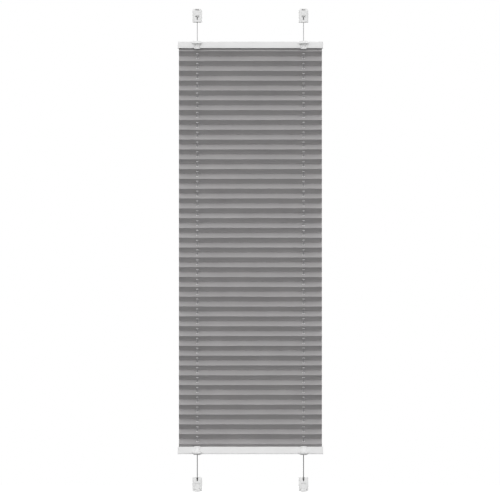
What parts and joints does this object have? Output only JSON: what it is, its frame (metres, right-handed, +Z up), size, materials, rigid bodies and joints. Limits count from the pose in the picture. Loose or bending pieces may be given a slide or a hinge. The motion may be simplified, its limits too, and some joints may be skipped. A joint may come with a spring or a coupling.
{
  "type": "pleated blind",
  "caption": "Tensioned pleated window blind: grey folded fabric between two sliding white rails on crossing cords, with screwed corner shoes.",
  "frame": {"origin": "centre of the four shoe screws, in the plane of the shoes' backs, where the window frame's face is", "axes": "+X along the rails to the right as seen from the room, +Y towards the window, +Z up"},
  "size_m": [0.35, 0.0335, 1.1648],
  "materials": {
    "rail_coating": "satin white powder coat",
    "white_plastic": "fine satin white",
    "inner_plastic": "natural white",
    "pleated_cloth": "fine plain weave, crisp folds",
    "cord": "braided polyester"
  },
  "bodies": {
    "window_shoes": {"left_tension_cord": "cord", "right_tension_cord": "cord", "top_left_shoe": "white_plastic", "top_left_screw_cover": "white_plastic", "top_left_cord_toggle": "inner_plastic", "top_right_shoe": "white_plastic", "top_right_screw_cover": "white_plastic", "top_right_cord_toggle": "inner_plastic", "bottom_left_shoe": "white_plastic", "bottom_right_shoe": "white_plastic"},
    "upper_rail": {"top_rail": "rail_coating", "top_fabric_strip": "inner_plastic", "pleated_fabric": "pleated_cloth", "top_rail_left_end_cap": "white_plastic", "top_rail_right_end_cap": "white_plastic", "top_left_cord_guide": "inner_plastic", "top_left_grip": "white_plastic", "top_right_cord_guide": "inner_plastic", "top_right_grip": "white_plastic"},
    "lower_rail": {"bottom_rail": "rail_coating", "bottom_fabric_strip": "inner_plastic", "bottom_rail_left_end_cap": "white_plastic", "bottom_rail_right_end_cap": "white_plastic", "bottom_left_cord_guide": "inner_plastic", "bottom_left_grip": "white_plastic", "bottom_right_cord_guide": "inner_plastic", "bottom_right_grip": "white_plastic"},
    "left_tensioner": {"bottom_left_tensioner": "white_plastic"},
    "right_tensioner": {"bottom_right_tensioner": "white_plastic"}
  },
  "joints": [
    {"name": "top_rail_slide", "type": "slide", "parent": "window_shoes", "child": "upper_rail", "axis": [0, 0, 1], "range_m": [-0.0535, 0.044], "deforming": ["left_tension_cord", "right_tension_cord"]},
    {"name": "bottom_rail_slide", "type": "slide", "parent": "upper_rail", "child": "lower_rail", "axis": [0, 0, 1], "range_m": [0, 0.915], "deforming": ["pleated_fabric", "left_tension_cord", "right_tension_cord"]},
    {"name": "left_tensioner_slide", "type": "slide", "parent": "window_shoes", "child": "left_tensioner", "axis": [0, 0, 1], "range_m": [-0.006, 0.003], "deforming": ["left_tension_cord"]},
    {"name": "right_tensioner_slide", "type": "slide", "parent": "window_shoes", "child": "right_tensioner", "axis": [0, 0, 1], "range_m": [-0.006, 0.003], "deforming": ["right_tension_cord"]}
  ]
}
